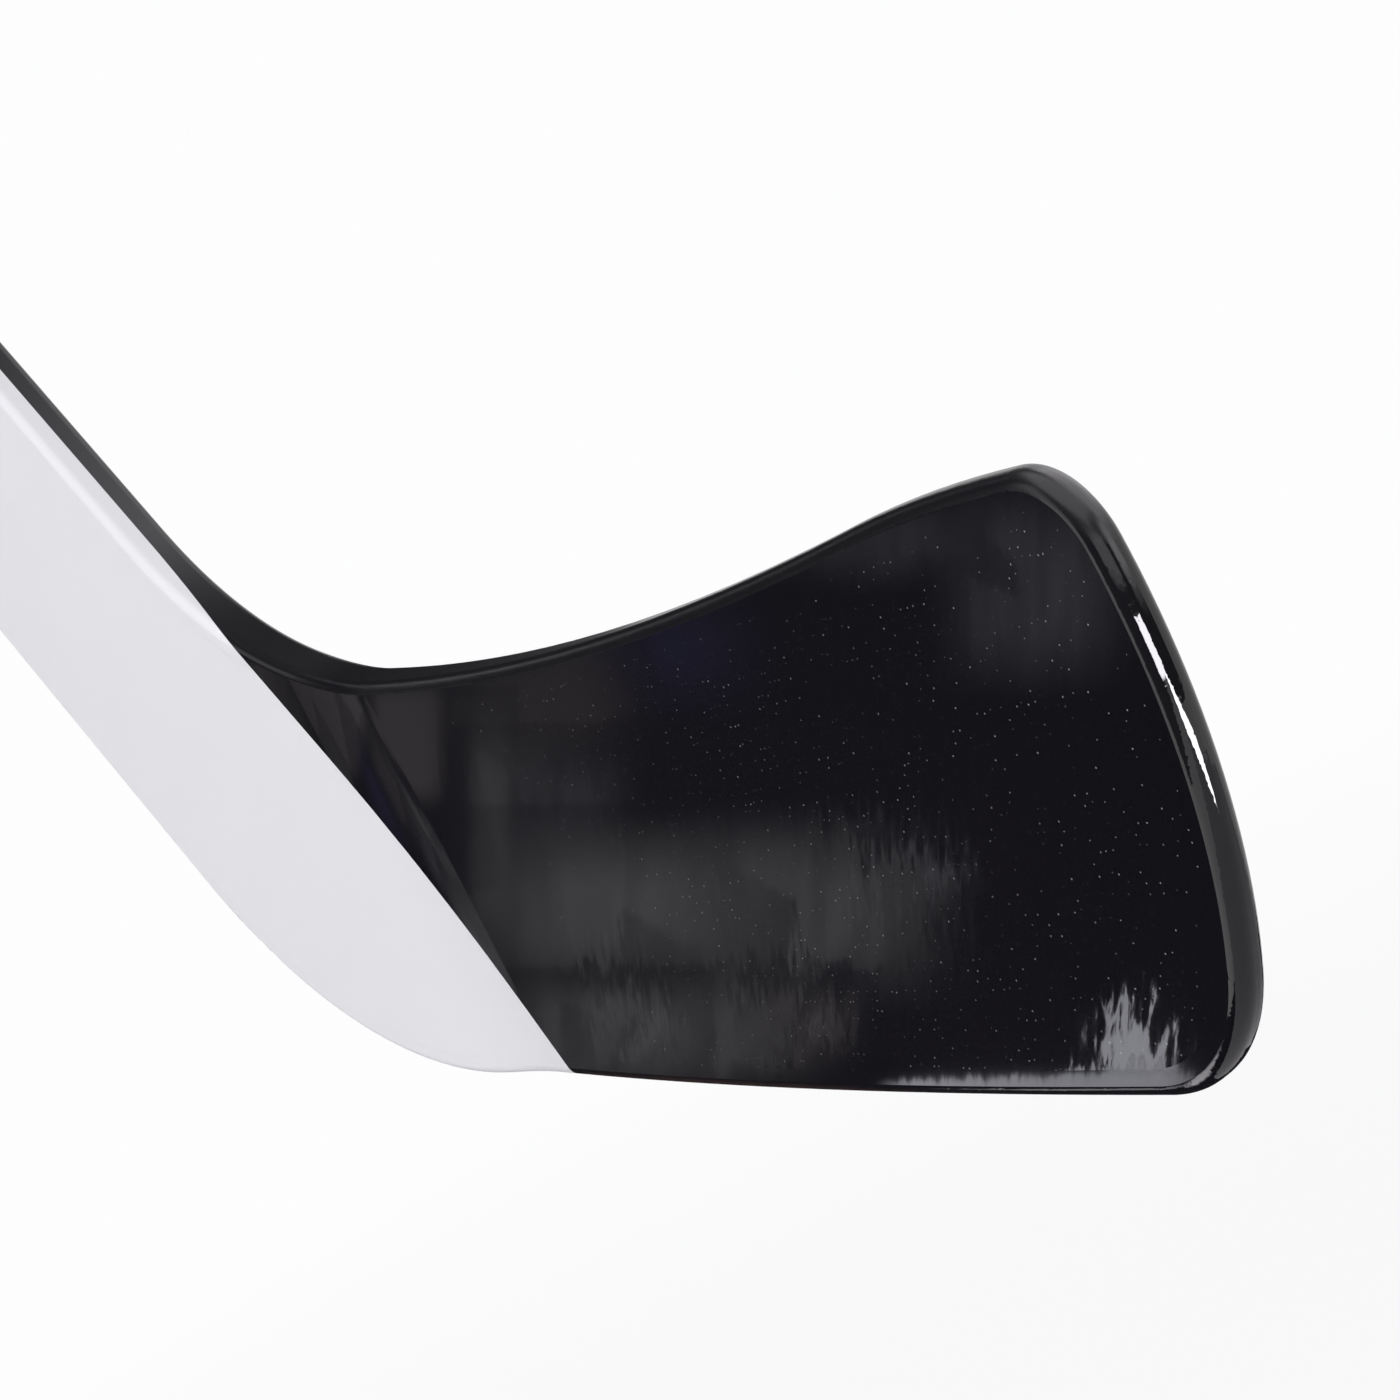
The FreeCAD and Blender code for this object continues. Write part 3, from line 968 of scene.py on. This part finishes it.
def seen_share(board: NodeBoard) -> Socket:
    """Tells what is seen, by the eye or in a mirror, from light that spreads.

    Args:
        board: the node tree.

    Returns:
        1 for rays of the camera, of mirrors and of clear pieces, and 0 for light that spreads.
    """
    rays = board.add("ShaderNodeLightPath").outputs
    mirrors = board.math("MAXIMUM", rays["Is Glossy Ray"], rays["Is Transmission Ray"])
    return board.math("MAXIMUM", rays["Is Camera Ray"], mirrors)


@dataclass(frozen=True)
class Card:
    """A flat studio card that shows only in reflections and has its light's name."""

    glow: Glow
    centre: Place
    facing: Place
    size: tuple[float, float]
    spin: float = 0.0

    def build(self) -> bpy.types.Object:
        """Adds the card.

        Returns:
            The card.
        """
        bpy.ops.object.select_all(action="DESELECT")
        bpy.ops.mesh.primitive_plane_add(size=1.0)
        card = bpy.context.object
        card.name = self.glow.name
        sized = Matrix.Diagonal((*self.size, 1.0, 1.0))
        turned = Vector(self.facing).to_track_quat("Z", "Y").to_matrix().to_4x4()
        spun = Matrix.Rotation(self.spin, 4, "Z")
        card.data.transform(Matrix.Translation(self.centre) @ turned @ spun @ sized)
        card.data.materials.append(self.glow.material())
        card.visible_camera = False
        card.visible_diffuse = False
        card.visible_shadow = False
        return card


@dataclass(frozen=True)
class MirrorWall:
    """Plane to the left of the stick that the blade's face mirrors towards the camera."""

    centre: Place = (-0.70, -0.244, -0.005)
    turn: float = 0.472

    def card(self, glow: Glow, place: tuple[float, float], size: tuple[float, float]) -> Card:
        """A card on the wall.

        Args:
            glow: its light.
            place: how far right and up of the wall's centre it shows in the blade, in millimetres.
            size: its width and height in millimetres.

        Returns:
            The card.
        """
        right, up = (distance * MM for distance in place)
        side = -right * math.cos(self.turn) - up * math.sin(self.turn)
        height = -right * math.sin(self.turn) + up * math.cos(self.turn)
        centre = Vector(self.centre) + Vector((0.0, side, height))
        return Card(glow, tuple(centre), TO_THE_TOE, (size[0] * MM, size[1] * MM), self.turn)


WALL = MirrorWall()
HEEL_SPIN = 0.149

DARK = (0.022, 0.021, 0.025)
DIM = (0.11, 0.107, 0.11)
GREY = (1.0, 0.97, 1.02)
WARM = (1.0, 0.93, 0.94)
COOL = (0.96, 0.97, 1.06)
BLUE = (0.52, 0.50, 1.1)

# Dark room round the stick
ROOM_CARDS = (
    Card(Glow("left_flag", DARK), (-0.72, -0.025, 0.27), TO_THE_TOE, (1.25, 1.26)),
    Card(Glow("camera_flag", DIM), (0.40, -1.30, 0.61), TO_THE_BACK, (2.40, 2.10)),
    Card(Glow("right_flag", DIM), (1.50, -0.30, 0.28), TO_THE_HEEL, (2.00, 1.44)),
    Card(Glow("floor_flag", DARK), (-0.35, 0.10, -0.44), UP, (1.30, 1.40)),
    Card(Glow("toe_floor_flag", GREY, 0.55), (0.55, -0.10, -0.438), UP, (1.10, 1.40)),
    Card(Glow("ceiling_flag", DIM), (-0.20, 0.10, 1.30), DOWN, (3.00, 2.60)),
)

# Lights that the edges of the toe and the sole mirror
EDGE_CARDS = (
    Card(Glow("crest_light", GREY, 2.0, 0.20), (0.45, 0.36, 0.49), (-0.34, -0.67, -0.66), (1.10, 0.70)),
    Card(Glow("crest_side_light", GREY, 2.3, 0.30), (1.22, 0.20, 0.25), (-1.0, -0.2, 0.0), (0.80, 0.66)),
    Card(Glow("crest_top_light", GREY, 1.4, 0.15), (0.56, -0.36, 0.54), DOWN, (1.10, 1.00)),
    Card(Glow("crest_front_light", GREY, 1.1, 0.20), (0.76, -0.53, 0.145), (-0.6, 0.78, 0.0), (0.90, 0.25)),
    Card(Glow("toe_corner_light", GREY, 2.2, 0.25), (-0.39, -0.30, -0.43), UP, (0.66, 0.16), spin=0.548),
    Card(Glow("sole_floor_light", GREY, 0.9, 0.30), (-0.58, -0.20, -0.432), UP, (0.24, 0.30)),
    Card(
        Glow("toe_gleam_upper", GREY, 22.0, 0.08),
        (0.726, -0.426, -0.048),
        (-0.65, 0.72, 0.23),
        (0.36, 0.10),
    ),
    Card(
        Glow("toe_gleam_lower", GREY, 30.0, 0.08),
        (0.843, -0.261, -0.220),
        (-0.81, 0.217, 0.545),
        (0.40, 0.156),
        spin=0.4,
    ),
)

# Reflections in the heel and in the blade's face, from the throat to the toe
FACE_CARDS = (
    Card(
        Glow("heel_panel", WARM, 0.17, 0.12),
        (-0.70, -0.257, 0.092),
        TO_THE_TOE,
        (0.27, 0.10),
        spin=HEEL_SPIN,
    ),
    Card(
        Glow("heel_foot_panel", WARM, 0.09, 0.35),
        (-0.70, -0.167, 0.030),
        TO_THE_TOE,
        (0.13, 0.075),
        spin=HEEL_SPIN,
    ),
    WALL.card(Glow("throat_panel", WARM, 0.12, 0.25), (-156.0, -22.0), (46.0, 76.0)),
    WALL.card(Glow("upright_gleam", GREY, 0.15, 0.35), (-112.0, -68.0), (30.0, 150.0)),
    WALL.card(Glow("upper_haze", COOL, 0.115, 0.40, 0.4), (-80.0, -56.0), (110.0, 88.0)),
    WALL.card(Glow("band_left", GREY, 0.25, 0.44, 0.2), (-42.0, -110.0), (190.0, 110.0)),
    WALL.card(Glow("band_right", GREY, 0.28, 0.42, 0.3), (60.0, -113.0), (205.0, 124.0)),
    WALL.card(Glow("foot_haze", GREY, 0.21, 0.35, 0.3), (-22.0, -178.0), (210.0, 76.0)),
    WALL.card(Glow("foot_patch_left", GREY, 0.30, 0.45, 0.9), (-34.0, -173.0), (84.0, 60.0)),
    WALL.card(Glow("foot_patch_right", WARM, 0.28, 0.45, 0.9), (57.0, -175.0), (84.0, 58.0)),
    WALL.card(Glow("side_patch", COOL, 0.30, 0.40, 0.8), (120.0, -96.0), (84.0, 46.0)),
    WALL.card(Glow("blue_haze", BLUE, 0.09, 0.48), (-12.0, 28.0), (130.0, 90.0)),
    WALL.card(Glow("top_haze", COOL, 0.17, 0.45, 0.3), (105.0, 88.0), (150.0, 64.0)),
    WALL.card(Glow("crest_haze", COOL, 0.27, 0.40, 0.35), (190.0, 62.0), (134.0, 134.0)),
    WALL.card(Glow("toe_fan", COOL, 2.0, 0.06, shape=CardShape.WEDGE), (257.0, -187.0), (60.0, 58.0)),
    WALL.card(Glow("sole_gleam", COOL, 1.6, 0.12), (190.0, -217.0), (190.0, 26.0)),
)


@dataclass(frozen=True)
class Softbox:
    """A square lamp with a soft light that mirrors don't see."""

    name: str
    place: Place
    size: float
    power: float
    aim: Place = (0.0, 0.0, 0.2)

    def build(self) -> bpy.types.Object:
        """Adds the lamp.

        Returns:
            The lamp.
        """
        data = bpy.data.lights.new(self.name, "AREA")
        data.shape = "SQUARE"
        data.size = self.size
        data.energy = self.power
        lamp = bpy.data.objects.new(self.name, data)
        bpy.context.scene.collection.objects.link(lamp)
        lamp.location = self.place
        lamp.visible_glossy = False
        lamp.rotation_mode = "QUATERNION"
        lamp.rotation_quaternion = (Vector(self.aim) - Vector(self.place)).to_track_quat("-Z", "Y")
        return lamp


@dataclass
class Studio:
    """Floor, white surroundings, soft lamps and the cards that the lacquer mirrors."""

    floor_height: float = -0.45
    floor_size: float = 30.0
    ambient: float = 0.55
    shown: float = 1.0
    cards: tuple[Card, ...] = ROOM_CARDS + EDGE_CARDS + FACE_CARDS
    lamps: tuple[Softbox, ...] = (
        Softbox("overhead_softbox", (0.1, -0.3, 2.4), size=2.0, power=20.0),
        Softbox("front_softbox", (0.2, -2.0, 1.4), size=1.2, power=26.0),
    )

    def build(self) -> None:
        """Builds everything round the stick."""
        self.build_floor()
        self.build_world()
        for item in self.cards + self.lamps:
            item.build()
        LOG.info("built the studio")

    def build_floor(self) -> None:
        """Adds the pale floor below the stick."""
        bpy.ops.object.select_all(action="DESELECT")
        bpy.ops.mesh.primitive_plane_add(size=self.floor_size)
        floor = bpy.context.object
        floor.name = "floor"
        floor.data.transform(Matrix.Translation((0.0, 0.0, self.floor_height)))
        floor.data.materials.append(FloorPaint().material())

    def build_world(self) -> None:
        """Makes the surroundings white to the eye and a plain soft light to the stick."""
        world = bpy.data.worlds.new("studio")
        bpy.context.scene.world = world
        world.use_nodes = True
        board = NodeBoard(world.node_tree)
        light, seen = (
            board.add("ShaderNodeBackground", {"Color": STUDIO_WHITE, "Strength": strength}).outputs[0]
            for strength in (self.ambient, self.shown)
        )
        mixed = board.add("ShaderNodeMixShader", {0: seen_share(board), 1: light, 2: seen}).outputs[0]
        board.add("ShaderNodeOutputWorld", {"Surface": mixed})


@dataclass(frozen=True)
class PhotoCamera:
    """Camera at the photograph's viewing angle, for a square picture."""

    place: Place = (0.6437, -0.2903, 0.1120)
    forward: Place = (-0.8295, 0.5526, -0.0812)
    roll: float = math.radians(-26.7)
    lens: float = 69.69
    sensor: float = 36.0
    nearest: float = 0.01

    def build(self) -> bpy.types.Object:
        """Adds the camera and makes it the scene's.

        Returns:
            The camera.
        """
        data = bpy.data.cameras.new("photo_camera")
        data.lens = self.lens
        data.sensor_width = self.sensor
        data.clip_start = self.nearest
        camera = bpy.data.objects.new("photo_camera", data)
        bpy.context.scene.collection.objects.link(camera)
        level = Vector(self.forward).to_track_quat("-Z", "Y").to_matrix().to_4x4()
        camera.matrix_world = Matrix.Translation(self.place) @ level @ Matrix.Rotation(self.roll, 4, "Z")
        bpy.context.scene.camera = camera
        LOG.info("placed the camera")
        return camera


def main() -> None:
    """Builds the stick's sub-assemblies, the studio and the camera."""
    logging.basicConfig(level=logging.INFO, format="%(message)s")
    for assembly in (Blade(), Heel(), Paddle(), Handle()):
        assembly.build()
        assembly.dress()
    Studio().build()
    PhotoCamera().build()
    bpy.context.scene.view_settings.view_transform = "Standard"


if __name__ == "__main__":
    main()
